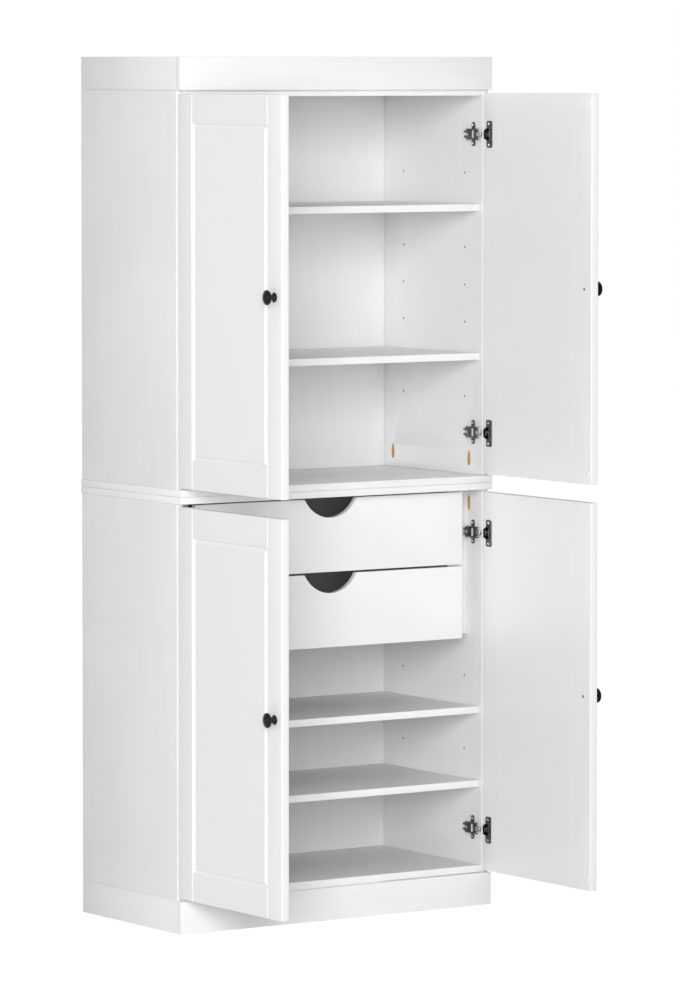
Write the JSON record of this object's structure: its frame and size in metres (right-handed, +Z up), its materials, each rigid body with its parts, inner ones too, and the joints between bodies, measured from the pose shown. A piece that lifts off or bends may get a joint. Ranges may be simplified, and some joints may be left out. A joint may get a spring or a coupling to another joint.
{
  "type": "pantry cabinet",
  "caption": "Tall free-standing pantry cabinet of two stacked cases, with hinged panelled doors, shelves and inner drawers with finger cut-outs.",
  "frame": {"origin": "middle of the underside of the plinth front board, on the floor", "axes": "+Z up, +Y from the doors to the back, +X to the right as seen from the front"},
  "size_m": [0.8476, 0.7825, 1.84],
  "materials": {
    "white_board": "white satin lacquer on board",
    "white_door": "white satin paint on routed fibreboard",
    "backing": "thin hardboard with a white foil face",
    "nickel": "bright nickel plate",
    "slide_steel": "white powder coat",
    "dark_metal": "black satin enamel"
  },
  "bodies": {
    "cabinet": {"plinth_front": "white_board", "plinth_left": "white_board", "plinth_right": "white_board", "lower_side_left": "white_board", "lower_side_right": "white_board", "lower_bottom_board": "white_board", "lower_top_board": "white_board", "lower_back_panel": "backing", "upper_bottom_board": "white_board", "upper_side_left": "white_board", "upper_side_right": "white_board", "upper_top_board": "white_board", "upper_back_panel": "backing", "crown_front": "white_board", "crown_left": "white_board", "crown_right": "white_board", "upper_shelf_1": "white_board", "upper_shelf_2": "white_board", "lower_shelf_1": "white_board", "lower_shelf_2": "white_board", "drawer_spacer_left": "white_board", "drawer_spacer_right": "white_board", "upper_door_left_hinge_arm_bottom": "nickel", "upper_door_left_hinge_arm_top": "nickel", "upper_door_right_hinge_arm_bottom": "nickel", "upper_door_right_hinge_arm_top": "nickel", "lower_door_left_hinge_arm_bottom": "nickel", "lower_door_left_hinge_arm_top": "nickel", "lower_door_right_hinge_arm_bottom": "nickel", "lower_door_right_hinge_arm_top": "nickel", "upper_drawer_slide_left": "slide_steel", "upper_drawer_slide_right": "slide_steel", "lower_drawer_slide_left": "slide_steel", "lower_drawer_slide_right": "slide_steel"},
    "upper_left_door": {"upper_door_left": "white_door", "upper_door_left_knob": "dark_metal", "upper_door_left_hinge_cup_bottom": "nickel", "upper_door_left_hinge_cup_top": "nickel"},
    "upper_right_door": {"upper_door_right": "white_door", "upper_door_right_knob": "dark_metal", "upper_door_right_hinge_cup_bottom": "nickel", "upper_door_right_hinge_cup_top": "nickel"},
    "lower_left_door": {"lower_door_left": "white_door", "lower_door_left_knob": "dark_metal", "lower_door_left_hinge_cup_bottom": "nickel", "lower_door_left_hinge_cup_top": "nickel"},
    "lower_right_door": {"lower_door_right": "white_door", "lower_door_right_knob": "dark_metal", "lower_door_right_hinge_cup_bottom": "nickel", "lower_door_right_hinge_cup_top": "nickel"},
    "upper_drawer": {"upper_drawer_front": "white_board", "upper_drawer_side_left": "white_board", "upper_drawer_side_right": "white_board", "upper_drawer_back": "white_board", "upper_drawer_bottom": "backing"},
    "lower_drawer": {"lower_drawer_front": "white_board", "lower_drawer_side_left": "white_board", "lower_drawer_side_right": "white_board", "lower_drawer_back": "white_board", "lower_drawer_bottom": "backing"}
  },
  "joints": [
    {"name": "upper_left_door_hinge", "type": "hinge", "parent": "cabinet", "child": "upper_left_door", "pos_m": [-0.391, -0.004, 1.3505], "axis": [0, 0, -1], "range_deg": [-90, 15]},
    {"name": "upper_right_door_hinge", "type": "hinge", "parent": "cabinet", "child": "upper_right_door", "pos_m": [0.391, -0.004, 1.3505], "axis": [0, 0, 1], "range_deg": [-90, 15]},
    {"name": "lower_left_door_hinge", "type": "hinge", "parent": "cabinet", "child": "lower_left_door", "pos_m": [-0.391, -0.004, 0.4875], "axis": [0, 0, -1], "range_deg": [-90, 15]},
    {"name": "lower_right_door_hinge", "type": "hinge", "parent": "cabinet", "child": "lower_right_door", "pos_m": [0.391, -0.004, 0.4875], "axis": [0, 0, 1], "range_deg": [-90, 15]},
    {"name": "upper_drawer_slide", "type": "slide", "parent": "cabinet", "child": "upper_drawer", "axis": [0, -1, 0], "range_m": [0, 0.26]},
    {"name": "lower_drawer_slide", "type": "slide", "parent": "cabinet", "child": "lower_drawer", "axis": [0, -1, 0], "range_m": [0, 0.26]}
  ]
}
